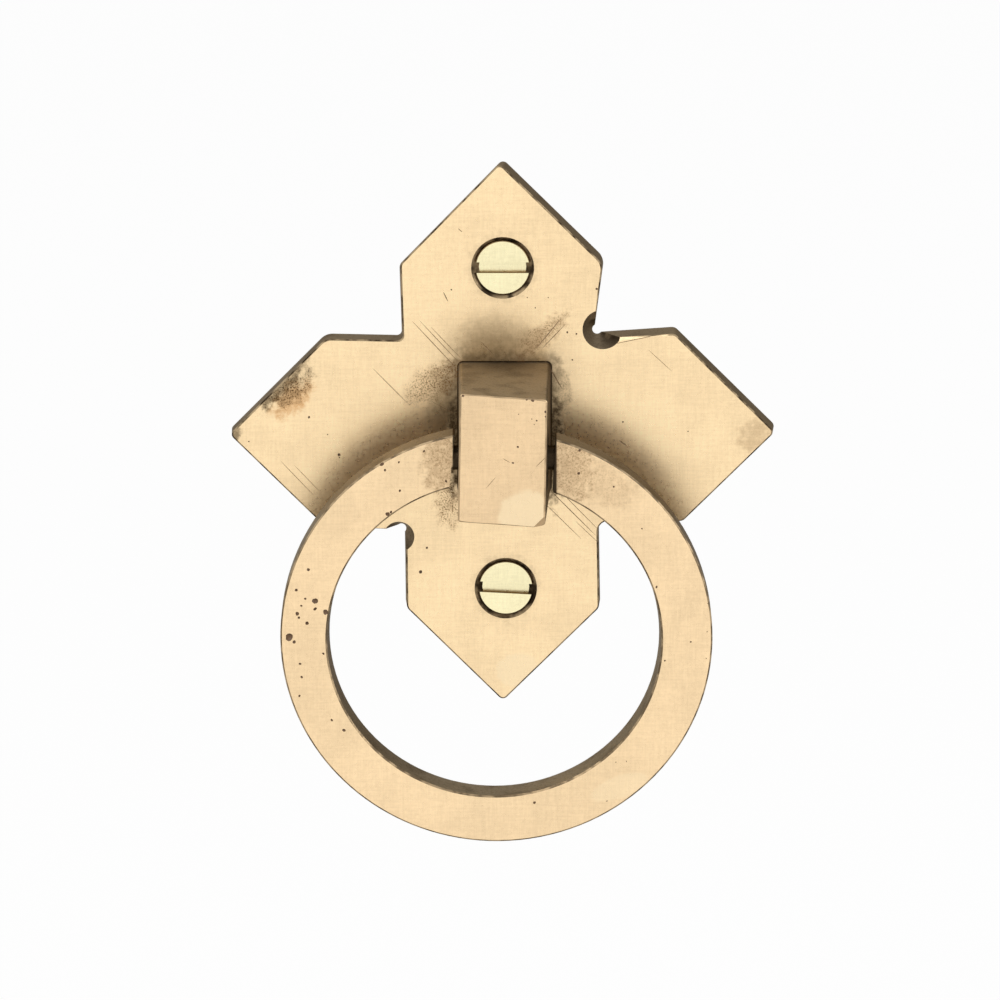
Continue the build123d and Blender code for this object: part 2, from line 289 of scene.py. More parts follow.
# Painted dark reflection of the block on the plate above it, and painted shade left of the block
PLATE_PAINTED_REFLECTIONS = (
    (-1.2, 11.2, 6.4, 4.3, 0.0, 0.58, 0.0),
    (-6.6, 4.6, 3.0, 6.4, -12.0, 0.6, 0.0),
)
OCHRE_STAINS = ((-26.2, 4.3, 3.4, 1.9, 45.0, 0.8, 0.35),)
RING_BROWN_STAINS = (
    (8.2, -1.8, 3.8, 5.4, 0.0, 0.6, 0.6),
    (12.0, -3.4, 5.0, 3.2, -25.0, 0.3, 0.6),
    (-7.6, -0.9, 2.6, 4.8, 0.0, 0.62, 0.6),
)
# Painted highlights: pale patches on the block, the plate's lower arm and the ring's bottom, where a
# lamp's reflection falls
BLOCK_PAINTED_HIGHLIGHTS = ((2.7, -6.1, 3.3, 2.8, 15.0, 0.7, 0.0),)
PLATE_PAINTED_HIGHLIGHTS = ((1.8, -30.6, 2.6, 2.1, 10.0, 0.6, 0.0),)
RING_PAINTED_HIGHLIGHTS = ((14.5, -42.4, 3.6, 1.4, 20.0, 0.4, 0.0),)
# The block's knocked lower right corner, worn brighter
BLOCK_WORN_CORNER = ((4.9, -7.3, 1.5, 1.5, 0.0, 0.4, 0.0),)
WORN_CORNER_DEPTH = 1.6

# Rims of those marks. A mark starts at the outer rim and is at full strength from the inner one,
# both as squared shares of its half sizes. Each kind of rim is its raggedness and its inner rim:
# below 0 the whole mark is soft, and near the outer rim it is crisp. A full stain also adds to the
# roughness.
OUTER_RIM = 1.3
STAIN_RIM = (1.0, 0.1)
PAINTED_REFLECTION_RIM = (0.3, -0.4)
PAINTED_HIGHLIGHT_RIM = (0.3, 0.8)
WORN_CORNER_RIM = (0.3, 0.6)
STAIN_ROUGHNESS = 0.25

# Scratches, each as across, up, half length, width and turn in degrees
SCRATCH_DEPTH = 0.05
SCRATCH_SIDES = 6
SCRATCH_STEPS = 8
PLATE_SCRATCHES = (
    (-8.4, 11.0, 4.3, 0.11, -47.5), (-7.7, 11.3, 4.0, 0.09, -47.5),
    (-7.1, 11.4, 2.8, 0.08, -47.0), (-14.0, 5.9, 3.2, 0.09, -45.8),
    (8.3, -9.9, 4.8, 0.11, -45.5), (9.4, -9.9, 3.8, 0.08, -46.0),
    (7.4, -11.3, 3.4, 0.08, -45.0), (10.6, -12.9, 2.2, 0.07, -44.0),
    (19.5, 9.1, 2.1, 0.07, -43.0), (5.6, 12.5, 2.6, 0.12, 50.8),
    (6.3, 12.2, 2.2, 0.09, 47.0), (-25.6, -5.9, 3.1, 0.08, -47.0),
    (-24.4, -5.9, 2.4, 0.07, -47.0), (-1.9, 10.6, 1.3, 0.11, -47.0),
    (6.3, 7.3, 2.2, 0.14, -60.0), (-7.6, 3.2, 1.6, 0.07, -30.0),
    (16.5, 11.8, 4.5, 0.09, 11.9), (-7.1, 17.2, 0.65, 0.14, -65.0),
    (-5.3, 25.6, 0.35, 0.1, -40.0), (14.9, -1.4, 0.6, 0.2, -35.0),
)
BLOCK_SCRATCHES = (
    (4.6, 0.4, 0.8, 0.08, 45.0), (0.4, 0.6, 0.5, 0.08, -30.0), (-1.5, -2.2, 0.9, 0.07, 50.0),
)


def linear(colour):
    """A colour from 0 to 255 as Blender's own linear red, green, blue and alpha."""
    parts = []
    for value in colour:
        share = value / 255
        parts.append(share / 12.92 if share <= 0.04045 else ((share + 0.055) / 1.055) ** 2.4)
    return (*parts, 1.0)


def add(tree, kind, inputs=None, **settings):
    """Adds a node, with its settings and its inputs, each a value or a socket to wire from."""
    node = tree.nodes.new(kind)
    for name, value in settings.items():
        setattr(node, name, value)
    for name, value in (inputs or {}).items():
        if isinstance(value, bpy.types.NodeSocket):
            tree.links.new(value, node.inputs[name])
        else:
            node.inputs[name].default_value = value
    return node


def calc(tree, operation, first, second=0.0, third=0.0):
    """One sum on numbers, as a socket."""
    node = add(tree, "ShaderNodeMath", {0: first, 1: second, 2: third}, operation=operation)
    return node.outputs[0]


def vector_calc(tree, operation, first, second=(0.0, 0.0, 0.0)):
    """One sum on vectors, as a socket."""
    return add(tree, "ShaderNodeVectorMath", {0: first, 1: second}, operation=operation).outputs[0]


def fade(tree, value, start, end, low=0.0, high=1.0):
    """Runs smoothly from low to high while the value goes from start to end."""
    inputs = {"Value": value, "From Min": start, "From Max": end, "To Min": low, "To Max": high}
    return add(tree, "ShaderNodeMapRange", inputs, interpolation_type="SMOOTHSTEP").outputs["Result"]


def blend_colour(tree, share, below, above):
    """Lays one colour over another, as a socket."""
    return add(tree, "ShaderNodeMix", {0: share, 6: below, 7: above}, data_type="RGBA").outputs[2]


def blend_value(tree, share, below, above):
    """Lays one number over another, as a socket."""
    return add(tree, "ShaderNodeMix", {0: share, 2: below, 3: above}, data_type="FLOAT").outputs[0]


def noise(tree, place, scale, detail=2.0, roughness=0.5, stretch=(1.0, 1.0, 1.0)):
    """Cloudy noise, with so many lumps to a millimetre, as a socket from 0 to 1."""
    if stretch != (1.0, 1.0, 1.0):
        place = vector_calc(tree, "MULTIPLY", place, stretch)
    inputs = {"Vector": place, "Scale": scale, "Detail": detail, "Roughness": roughness}
    return add(tree, "ShaderNodeTexNoise", inputs).outputs["Fac"]


SOCKETS = {
    "value": "NodeSocketFloat",
    "vector": "NodeSocketVector",
    "colour": "NodeSocketColor",
}


def effect_group(name, takes, gives):
    """An empty shader group with named inputs and outputs. Returns its tree, input and output nodes."""
    tree = bpy.data.node_groups.new(name, "ShaderNodeTree")
    for label, kind in takes:
        tree.interface.new_socket(label, in_out="INPUT", socket_type=SOCKETS[kind])
    for label, kind in gives:
        tree.interface.new_socket(label, in_out="OUTPUT", socket_type=SOCKETS[kind])
    return tree, tree.nodes.new("NodeGroupInput").outputs, tree.nodes.new("NodeGroupOutput").inputs


def facing_group():
    """Which way a surface faces: filed front, broken edge round it, back, or right-hand wall."""
    tree, takes, gives = effect_group(
        "Facing",
        (("Normal", "vector"),),
        (("Front", "value"), ("Edge", "value"), ("Back", "value"), ("Right", "value")),
    )
    axes = add(tree, "ShaderNodeSeparateXYZ", {0: takes["Normal"]}).outputs
    front = fade(tree, axes["Y"], *FRONT_LEAN)
    tree.links.new(front, gives["Front"])
    edge = calc(tree, "SUBTRACT", fade(tree, axes["Y"], *EDGE_LEAN), front)
    tree.links.new(calc(tree, "MAXIMUM", edge, 0.0), gives["Edge"])
    tree.links.new(fade(tree, axes["Y"], *BACK_LEAN), gives["Back"])
    tree.links.new(fade(tree, axes["X"], *RIGHT_LEAN), gives["Right"])
    return tree


def grime_and_shade_group():
    """Grime and painted shade on a face round a foot or a hole with rounded corners: a crisp dark line
    and a soft rim, which round the block's foot is painted shade.
    """
    tree, takes, gives = effect_group(
        "Rim grime and shade",
        (
            ("Place", "vector"), ("Ragged", "value"), ("Centre", "vector"),
            ("Half Size", "vector"), ("Corner Round", "value"), ("Reach", "value"),
            ("Line", "value"), ("Strength", "value"),
        ),
        (("Mask", "value"),),
    )
    offset = vector_calc(tree, "SUBTRACT", takes["Place"], takes["Centre"])
    aside = vector_calc(tree, "ABSOLUTE", offset)
    beyond = vector_calc(tree, "MAXIMUM", vector_calc(tree, "SUBTRACT", aside, takes["Half Size"]))
    distance = add(tree, "ShaderNodeVectorMath", {0: beyond}, operation="LENGTH").outputs["Value"]
    gap = calc(tree, "SUBTRACT", distance, takes["Corner Round"])
    line = calc(tree, "MULTIPLY", fade(tree, gap, *LINE_REACH), takes["Line"])
    ragged_gap = calc(tree, "ADD", gap, takes["Ragged"])
    soft_rim = fade(tree, ragged_gap, takes["Reach"], SOFT_RIM_START)
    soft = calc(tree, "MULTIPLY", soft_rim, takes["Strength"])
    tree.links.new(calc(tree, "MAXIMUM", line, soft), gives["Mask"])
    return tree


def skin_group():
    """The dark skin of walls that the file never polished: two browns in fine speckles."""
    tree, takes, gives = effect_group(
        "Brown skin",
        (("Place", "vector"), ("Light", "colour"), ("Dark", "colour")),
        (("Colour", "colour"), ("Roughness", "value"), ("Height", "value")),
    )
    speckle = noise(tree, takes["Place"], SKIN_SPECKLES, 3.0, 0.65)
    cloud = noise(tree, takes["Place"], SKIN_CLOUDS)
    speckles = fade(tree, speckle, 0.5, 0.75, 0.0, SPECKLE_SHARE)
    clouds = fade(tree, cloud, 0.45, 0.75, 0.0, CLOUD_SHARE)
    share = calc(tree, "ADD", speckles, clouds)
    tree.links.new(blend_colour(tree, share, takes["Light"], takes["Dark"]), gives["Colour"])
    tree.links.new(fade(tree, speckle, 0.3, 0.7, *SKIN_ROUGHNESS), gives["Roughness"])
    tree.links.new(speckle, gives["Height"])
    return tree


def filed_group():
    """A front that was filed flat and rubbed bright: faint clouds, fine file lines, tiny specks."""
    tree, takes, gives = effect_group(
        "Filed brass",
        (("Place", "vector"), ("Colour", "colour"), ("Speck Colour", "colour"), ("Specks", "value")),
        (("Colour", "colour"), ("Roughness", "value"), ("Height", "value")),
    )
    place = takes["Place"]
    clouds = noise(tree, place, FILED_CLOUDS, 3.0, 0.55)
    grain = noise(tree, place, FILED_GRAIN, 3.0, 0.6)
    half_across = calc(tree, "MULTIPLY", noise(tree, place, 1.0, 2.0, 0.6, LINES_ACROSS), 0.5)
    half_upright = calc(tree, "MULTIPLY", noise(tree, place, 1.0, 2.0, 0.6, LINES_UPRIGHT), 0.5)
    lines = calc(tree, "ADD", half_across, half_upright)
    tone = calc(tree, "ADD", fade(tree, clouds, 0.35, 0.65, *CLOUD_TONES), -1.0)
    tone = calc(tree, "ADD", tone, fade(tree, lines, 0.35, 0.65, *LINE_TONES))
    tone = calc(tree, "MULTIPLY", tone, fade(tree, grain, 0.3, 0.7, *GRAIN_TONES))
    tinted = vector_calc(tree, "SCALE", takes["Colour"])
    tree.links.new(tone, tinted.node.inputs["Scale"])

    cell_inputs = {"Vector": place, "Scale": SPECK_CELLS, "Randomness": 1.0}
    from_cell_centre = add(tree, "ShaderNodeTexVoronoi", cell_inputs).outputs["Distance"]
    size = calc(tree, "MULTIPLY", noise(tree, place, SPECK_CLOUDS, 1.0), takes["Specks"])
    speck = fade(tree, from_cell_centre, size, calc(tree, "MULTIPLY", size, SPECK_CORE))
    tree.links.new(blend_colour(tree, speck, tinted, takes["Speck Colour"]), gives["Colour"])
    tree.links.new(fade(tree, grain, 0.3, 0.7, *FILED_ROUGHNESS), gives["Roughness"])
    grain_height = calc(tree, "MULTIPLY", grain, GRAIN_RELIEF)
    tree.links.new(calc(tree, "MULTIPLY_ADD", lines, LINE_RELIEF, grain_height), gives["Height"])
    return tree


def local_place(tree, place, centre, turn):
    """Where a point lies seen from a mark's own centre, along and across it."""
    inputs = {"Vector": vector_calc(tree, "SUBTRACT", place, centre), "Angle": turn}
    turned = add(tree, "ShaderNodeVectorRotate", inputs, rotation_type="Y_AXIS")
    return add(tree, "ShaderNodeSeparateXYZ", {0: turned.outputs[0]}).outputs


def stain_and_painted_light_group():
    """A patch with a soft or a crisp rim, whole or broken up into grains, for stains and for painted
    highlights, reflections and shade.
    """
    tree, takes, gives = effect_group(
        "Stain and painted light",
        (
            ("Place", "vector"), ("Ragged", "value"), ("Grains", "value"), ("Centre", "vector"),
            ("Turn", "value"), ("Half Length", "value"), ("Half Width", "value"),
            ("Strength", "value"), ("Mottle", "value"), ("Inner", "value"),
        ),
        (("Mask", "value"),),
    )
    local = local_place(tree, takes["Place"], takes["Centre"], takes["Turn"])
    along = calc(tree, "DIVIDE", local["X"], takes["Half Length"])
    across = calc(tree, "DIVIDE", local["Z"], takes["Half Width"])
    reach = calc(tree, "MULTIPLY_ADD", along, along, calc(tree, "MULTIPLY", across, across))
    patch = fade(tree, calc(tree, "ADD", reach, takes["Ragged"]), OUTER_RIM, takes["Inner"])
    broken = calc(tree, "MULTIPLY", patch, blend_value(tree, takes["Mottle"], 1.0, takes["Grains"]))
    tree.links.new(calc(tree, "MULTIPLY", broken, takes["Strength"]), gives["Mask"])
    return tree


def broken_rim_group():
    """What breaks a stain up: a ragged rim, small grains of stain, and edges worn here and there."""
    tree, takes, gives = effect_group(
        "Broken rim",
        (("Place", "vector"),),
        (("Ragged", "value"), ("Grains", "value"), ("Worn", "value")),
    )
    ragged = noise(tree, takes["Place"], RIM_LUMPS, 4.0, 0.6)
    tree.links.new(fade(tree, ragged, 0.3, 0.7, -RIM_WANDER, RIM_WANDER), gives["Ragged"])
    fine = noise(tree, takes["Place"], STAIN_GRAINS, 3.0, 0.75)
    grains = fade(tree, fine, 0.46, 0.60)
    cloud = noise(tree, takes["Place"], STAIN_CLOUDS)
    body = fade(tree, cloud, 0.35, 0.65, *STAIN_BODY)
    tree.links.new(calc(tree, "MAXIMUM", grains, body), gives["Grains"])
    tree.links.new(fade(tree, cloud, 0.38, 0.62, LEAST_EDGE_DIRT), gives["Worn"])
    return tree


FACING = facing_group()
RIM_GRIME_AND_SHADE = grime_and_shade_group()
SKIN = skin_group()
FILED = filed_group()
STAIN_AND_PAINTED_LIGHT = stain_and_painted_light_group()
BROKEN_RIM = broken_rim_group()


def place_effect(tree, effect, inputs):
    """Puts one effect group in a material, with its own values."""
    return add(tree, "ShaderNodeGroup", inputs, node_tree=effect).outputs


def filed_brass(tree, place, brass):
    """The look of a filed front in one shade of brass."""
    inputs = {
        "Place": place, "Colour": linear(brass),
        "Speck Colour": linear(SPECK_BROWN), "Specks": SPECKS,
    }
    return place_effect(tree, FILED, inputs)


def brown_skin(tree, place, light, dark):
    """The look of a surface that no file has touched, in two browns."""
    inputs = {"Place": place, "Light": linear(light), "Dark": linear(dark)}
    return place_effect(tree, SKIN, inputs)


def strongest(tree, masks):
    """The strongest of several masks at each point, as a socket."""
    top = masks[0]
    for mask in masks[1:]:
        top = calc(tree, "MAXIMUM", top, mask)
    return top


def stain_and_painted_light_mask(tree, place, rim, stains, face_y, rim_kind=STAIN_RIM):
    """All the marks of one list, be they stains or painted highlights, reflections or shade, on the
    face that lies at face_y, with one kind of rim.
    """
    raggedness, inner = rim_kind
    ragged = calc(tree, "MULTIPLY", rim["Ragged"], raggedness)
    masks = []
    for across, up, half_length, half_width, turn, strength, mottle in stains:
        inputs = {
            "Place": place, "Ragged": ragged, "Grains": rim["Grains"],
            "Centre": (across, face_y, up), "Turn": math.radians(turn),
            "Half Length": half_length, "Half Width": half_width,
            "Strength": strength, "Mottle": mottle, "Inner": inner,
        }
        masks.append(place_effect(tree, STAIN_AND_PAINTED_LIGHT, inputs)["Mask"])
    return strongest(tree, masks)


def start_material(name):
    """A new node material, with the surface's place in millimetres and its own normal."""
    material = bpy.data.materials.new(name)
    material.use_nodes = True
    tree = material.node_tree
    shader = tree.nodes["Principled BSDF"]
    where = tree.nodes.new("ShaderNodeTexCoord").outputs
    place = vector_calc(tree, "SCALE", where["Object"])
    place.node.inputs["Scale"].default_value = 1 / MM
    return material, tree, shader, place, where["Normal"]


def wire_surface(tree, shader, colour, roughness, height, relief):
    """Wires colour, roughness and bump to a shader. Relief is the bump's depth in millimetres."""
    tree.links.new(colour, shader.inputs["Base Color"])
    tree.links.new(roughness, shader.inputs["Roughness"])
    bump = add(tree, "ShaderNodeBump", {"Height": height, "Distance": relief * MM, "Strength": 1.0})
    tree.links.new(bump.outputs["Normal"], shader.inputs["Normal"])


def wire_metal(tree, shader, colour, roughness, height, relief):
    """Wires the same to a shader that is metal all over."""
    wire_surface(tree, shader, colour, roughness, height, relief)
    shader.inputs["Metallic"].default_value = 1.0
    shader.inputs["Specular Tint"].default_value = METAL_RIM_TINT


def screw_axis(node):
    """Where a screw's axis lies, across from the point of its shank, and up from its own height."""
    low, high = (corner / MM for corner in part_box(node))
    corners = [vertex.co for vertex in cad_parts[node].data.vertices]
    point = max(corners, key=lambda corner: corner.y)
    return point.x / MM, (low.z + high.z) / 2


def rim_grime_and_shade(tree, place, ragged, face_y):
    """A dark line and painted shade round the foot of the block, and grime round the two countersinks,
    on the plate.
    """
    rims = [
        (FOOT_CENTRE, FOOT_HALF_SIZE, FOOT_CORNER_ROUND, FOOT_SHADE_REACH, FOOT_LINE, FOOT_SHADE),
    ]
    for node in SCREW_NODES:
        rims.append(
            (screw_axis(node), (0.0, 0.0), COUNTERSINK_RADIUS, HOLE_GRIME_REACH, 0.0, HOLE_GRIME)
        )
    masks = []
    for centre, half_size, corner_round, reach, line, strength in rims:
        inputs = {
            "Place": place, "Ragged": ragged, "Centre": (centre[0], face_y, centre[1]),
            "Half Size": (half_size[0], FACE_HALF_DEPTH, half_size[1]),
            "Corner Round": corner_round, "Reach": reach, "Line": line, "Strength": strength,
        }
        masks.append(place_effect(tree, RIM_GRIME_AND_SHADE, inputs)["Mask"])
    return strongest(tree, masks)


def climbing_shade(tree, place):
    """Painted shade on the walls of the block, darkest down the middle of each wall next to the plate.
    """
    axes = add(tree, "ShaderNodeSeparateXYZ", {0: place}).outputs
    foot_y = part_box("backplate")[0].y / MM
    climbing_shade_share = fade(tree, axes["Y"], foot_y - CLIMB_REACH, foot_y)
    beside = calc(tree, "ABSOLUTE", calc(tree, "SUBTRACT", axes["X"], FOOT_CENTRE[0]))
    inner = fade(tree, beside, FOOT_HALF_SIZE[0], CLIMB_MIDDLE, CLIMB_AT_CORNERS)
    return calc(tree, "MULTIPLY", climbing_shade_share, inner)


def pin_shade(tree, place):
    """Painted shade on the stub pins and the end faces of the ring, next to the block."""
    axes = add(tree, "ShaderNodeSeparateXYZ", {0: place}).outputs
    beside = calc(tree, "ABSOLUTE", calc(tree, "SUBTRACT", axes["X"], PIVOT_ACROSS))
    at_the_ends = fade(tree, axes["Z"], ENDS_BOTTOM, ENDS_BOTTOM + ENDS_SOFTNESS)
    near_the_block = fade(tree, beside, PIN_REACH + PIN_SOFTNESS, PIN_REACH - PIN_SOFTNESS)
    return calc(tree, "MULTIPLY", near_the_block, at_the_ends)


def plate_dirt_and_shade(tree, place, rim, face_y, face_colour):
    """The plate's front with what lies under its stains: painted dark reflections and shade near the
    block, grime and painted shade round rims, and ochre.
    """
    # Painted dark reflections and shade on the plate next to the block
    painted_reflection = stain_and_painted_light_mask(tree, place, rim, PLATE_PAINTED_REFLECTIONS, face_y, PAINTED_REFLECTION_RIM)
    face_colour = blend_colour(tree, painted_reflection, face_colour, linear(PAINTED_DARK_REFLECTION))
    # Painted shade round the block's foot, with a dark line at the joint, and grime round the screw
    # holes
    grime_and_shade = rim_grime_and_shade(tree, place, rim["Ragged"], face_y)
    face_colour = blend_colour(tree, grime_and_shade, face_colour, linear(DARK_SKIN_AND_SHADE))
    ochre = stain_and_painted_light_mask(tree, place, rim, OCHRE_STAINS, face_y)
    return blend_colour(tree, ochre, face_colour, linear(OCHRE_STAIN))


def worn_corner(tree, place, rim, face_y):
    """The block's lower right corner, knocked off and worn brighter, near its front only."""
    corner = stain_and_painted_light_mask(tree, place, rim, BLOCK_WORN_CORNER, face_y, WORN_CORNER_RIM)
    depth = add(tree, "ShaderNodeSeparateXYZ", {0: place}).outputs["Y"]
    near_front = fade(tree, depth, face_y + WORN_CORNER_DEPTH, face_y + WORN_CORNER_DEPTH / 2)
    return calc(tree, "MULTIPLY", corner, near_front)


def brass_material(
    name, face_y, brass, skin, back_skin, edge_dirt_and_shade, right_shade, brown_stains, stains, rubbed
):
    """Cast brass with a filed front, brown side walls, and this piece's own stains, with painted
    highlights and painted shade laid on.
    """
    material, tree, shader, place, normal = start_material(name)
    facing = place_effect(tree, FACING, {"Normal": normal})
    rim = place_effect(tree, BROKEN_RIM, {"Place": place})
    filed = filed_brass(tree, place, brass)
    walls = brown_skin(tree, place, skin, DARK_SKIN_AND_SHADE)
    back = brown_skin(tree, place, back_skin, BACK_SHADOW)

    # Painted shade: the right-hand walls are darker, as if the light came from the left
    right_shade_share = calc(tree, "MULTIPLY", facing["Right"], right_shade)
    wall_colour = blend_colour(tree, right_shade_share, walls["Colour"], linear(DARK_SKIN_AND_SHADE))
    # Painted shade on the block's walls next to the plate
    if name == BLOCK_FINISH:
        climbing_shade_share = calc(tree, "MULTIPLY", climbing_shade(tree, place), CLIMB_SHADE)
        wall_colour = blend_colour(tree, climbing_shade_share, wall_colour, linear(DARK_SKIN_AND_SHADE))

    face_colour = filed["Colour"]
    roughness = filed["Roughness"]
    height = filed["Height"]
    if name == PLATE_FINISH:
        face_colour = plate_dirt_and_shade(tree, place, rim, face_y, face_colour)
    # Painted highlights: pale brass where a lamp's reflection falls
    bright = stain_and_painted_light_mask(tree, place, rim, rubbed, face_y, PAINTED_HIGHLIGHT_RIM)
    face_colour = blend_colour(tree, bright, face_colour, linear(PAINTED_HIGHLIGHT_BRASS))
    # The plate's stains hold painted shade too, in the gaps beside the block
    for marks, tint in ((brown_stains, BROWN_GRIME), (stains, GRIME_AND_SHADE)):
        if not marks:
            continue
        dirt_and_shade = stain_and_painted_light_mask(tree, place, rim, marks, face_y)
        face_colour = blend_colour(tree, dirt_and_shade, face_colour, linear(tint))
        roughness = calc(tree, "ADD", roughness, calc(tree, "MULTIPLY", dirt_and_shade, STAIN_ROUGHNESS))
        height = calc(tree, "SUBTRACT", height, dirt_and_shade)

    rest_colour = blend_colour(tree, facing["Back"], wall_colour, back["Colour"])
    # Dark broken edges: dirt on the edges, and painted shade on the walls of the plate's countersinks
    edge_share = calc(tree, "MULTIPLY", rim["Worn"], edge_dirt_and_shade)
    edge_colour = blend_colour(tree, edge_share, linear(brass), linear(DARK_SKIN_AND_SHADE))
    rest_colour = blend_colour(tree, facing["Edge"], rest_colour, edge_colour)
    if name == BLOCK_FINISH:
        worn_share = worn_corner(tree, place, rim, face_y)
        rest_colour = blend_colour(tree, worn_share, rest_colour, linear(brass))

    colour = blend_colour(tree, facing["Front"], rest_colour, face_colour)
    # Painted shade on the ring's pins and ends next to the block
    if name == RING_FINISH:
        colour = blend_colour(tree, pin_shade(tree, place), colour, linear(DARK_SKIN_AND_SHADE))
    rough = blend_value(tree, facing["Front"], walls["Roughness"], roughness)
    relief = blend_value(tree, facing["Front"], walls["Height"], height)
    wire_metal(tree, shader, colour, rough, relief, FILED_RELIEF)
    return material


def dirt_material(name, dirt):
    """What has settled in a pit or a scratch: dull, and a little uneven."""
    material, tree, shader, place, _ = start_material(name)
    skin = brown_skin(tree, place, dirt, DARK_SKIN_AND_SHADE)
    wire_surface(tree, shader, skin["Colour"], skin["Roughness"], skin["Height"], DIRT_RELIEF)
    return material


SETTLED_DIRT = dirt_material("dirt in the pits", PIT_DIRT)
SCRATCH_DIRT = dirt_material("dirt in the scratches", SCRATCH_BROWN)


def screw_material():
    """Turned brass: rubbed bright on the head, browner on the slot's walls and along the shank."""
    material, tree, shader, place, normal = start_material("turned brass")
    facing = place_effect(tree, FACING, {"Normal": normal})
    filed = filed_brass(tree, place, SCREW_BRASS)
    walls = brown_skin(tree, place, PLATE_BACK, PLATE_SKIN)
    colour = blend_colour(tree, facing["Front"], walls["Colour"], filed["Colour"])
    rough = blend_value(tree, facing["Front"], walls["Roughness"], filed["Roughness"])
    relief = blend_value(tree, facing["Front"], walls["Height"], filed["Height"])
    wire_metal(tree, shader, colour, rough, relief, TURNED_RELIEF)
    return material


def shading_group():
    """Drops the stored normals and shades by angle: round where it is round, crisp at each edge."""
    tree = bpy.data.node_groups.new("Shade by angle", "GeometryNodeTree")
    tree.interface.new_socket("Geometry", in_out="INPUT", socket_type="NodeSocketGeometry")
    tree.interface.new_socket("Geometry", in_out="OUTPUT", socket_type="NodeSocketGeometry")
    takes = tree.nodes.new("NodeGroupInput").outputs
    gives = tree.nodes.new("NodeGroupOutput").inputs
    plain = add(
        tree, "GeometryNodeRemoveAttribute", {"Geometry": takes[0], "Name": "custom_normal"}
    )
    smooth = add(
        tree,
        "GeometryNodeSetShadeSmooth",
        {"Geometry": plain.outputs[0], "Shade Smooth": True},
        domain="FACE",
    )
    angle = tree.nodes.new("GeometryNodeInputMeshEdgeAngle").outputs["Unsigned Angle"]
    gentle = add(
        tree,
        "FunctionNodeCompare",
        {"A": angle, "B": math.radians(CRISP_EDGE_ANGLE)},
        data_type="FLOAT",
        operation="LESS_THAN",
    )
    edges = add(
        tree,
        "GeometryNodeSetShadeSmooth",
        {"Geometry": smooth.outputs[0], "Shade Smooth": gentle.outputs[0]},
        domain="EDGE",
    )
    tree.links.new(edges.outputs[0], gives[0])
    return tree


SHADING = shading_group()


def object_from(mesh_builder, name):
    """A new object from a bmesh."""
    mesh = bpy.data.meshes.new(name)
    mesh_builder.to_mesh(mesh)
    mesh_builder.free()
    piece = bpy.data.objects.new(name, mesh)
    bpy.context.scene.collection.objects.link(piece)
    return piece


def hidden_cutter(piece, body):
    """A shape that only cuts others: never rendered, and moved with its body."""
    piece.hide_render = True
    piece.display_type = "WIRE"
    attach(piece, body)
    return piece


def mark_cutter(name, pits, scratches, face_y, body, seed):
    """Thin scratches, and lumps that bite uneven pits into a face and knocks into its edges."""
    chance = random.Random(seed)
    builder = bmesh.new()
    lying = Matrix.Rotation(math.pi / 2, 4, "Y")
    for across, up, half_length, width, turn in scratches:
        place = Matrix.Translation((across * MM, face_y * MM, up * MM))
        tilt = Matrix.Rotation(-math.radians(turn), 4, "Y")
        size = Matrix.Diagonal((half_length * MM, SCRATCH_DEPTH * MM, width / 2 * MM, 1.0))
        bmesh.ops.create_uvsphere(
            builder, u_segments=SCRATCH_SIDES, v_segments=SCRATCH_STEPS, radius=1.0,
            matrix=place @ tilt @ size @ lying,
        )
    scratch_faces = len(builder.faces)
    for across, up, width, depth in pits:
        place = Matrix.Translation((across * MM, face_y * MM, up * MM))
        turn = Matrix.Rotation(chance.uniform(0, math.tau), 4, "Y")
        size = Matrix.Diagonal(
            (
                width / 2 * MM * chance.uniform(*PIT_WIDTHS),
                depth * PIT_FLATNESS * MM,
                width / 2 * MM * chance.uniform(*PIT_HEIGHTS),
                1.0,
            )
        )
        lump = bmesh.ops.create_icosphere(
            builder, subdivisions=PIT_DETAIL, radius=1.0, matrix=place @ turn @ size
        )
        centre = place.translation
        for vertex in lump["verts"]:
            vertex.co = centre + (vertex.co - centre) * chance.uniform(*PIT_BUMPS)
    builder.faces.ensure_lookup_table()
    for face in builder.faces[scratch_faces:]:
        face.material_index = 1
    cutter = object_from(builder, name)
    for dirt in (SCRATCH_DIRT, SETTLED_DIRT):
        cutter.data.materials.append(dirt)
    return hidden_cutter(cutter, body)


def dress_node(node, material, cutter):
    """A CAD node with its new material, its pits cut in, and clean normals. Its mesh is left alone."""
    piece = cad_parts[node]
    piece.material_slots[0].material = material
    weld = piece.modifiers.new("join the split corners", "WELD")
    weld.merge_threshold = WELD_REACH * MM
    cut = piece.modifiers.new("pits and knocks", "BOOLEAN")
    cut.operation = "DIFFERENCE"
    cut.use_self = True
    cut.material_mode = "TRANSFER"
    cut.object = cutter
    shade = piece.modifiers.new("shade by angle", "NODES")
    shade.node_group = SHADING
    flat = piece.modifiers.new("flat faces stay flat", "WEIGHTED_NORMAL")
    flat.keep_sharp = True


def thread_radius(along, turn_share, length):
    """How far out the threaded part reaches, so far along the screw and so far round it."""
    crest = SCREW_THREAD / 2
    point_start = length - SCREW_POINT_LENGTH
    if along > point_start:
        crest = crest * (length - along) / SCREW_POINT_LENGTH
    depth = min(SCREW_THREAD_DEPTH, crest * DEEPEST_TOOTH_SHARE)
    phase = (along / SCREW_THREAD_PITCH - turn_share) % 1.0
    tooth = max(0.0, 1.0 - abs(phase - 0.5) / TOOTH_HALF_WIDTH)
    run_in = min(1.0, (along - SCREW_PLAIN_LENGTH) / (SCREW_THREAD_PITCH / 2))
    return crest - depth + depth * tooth * run_in


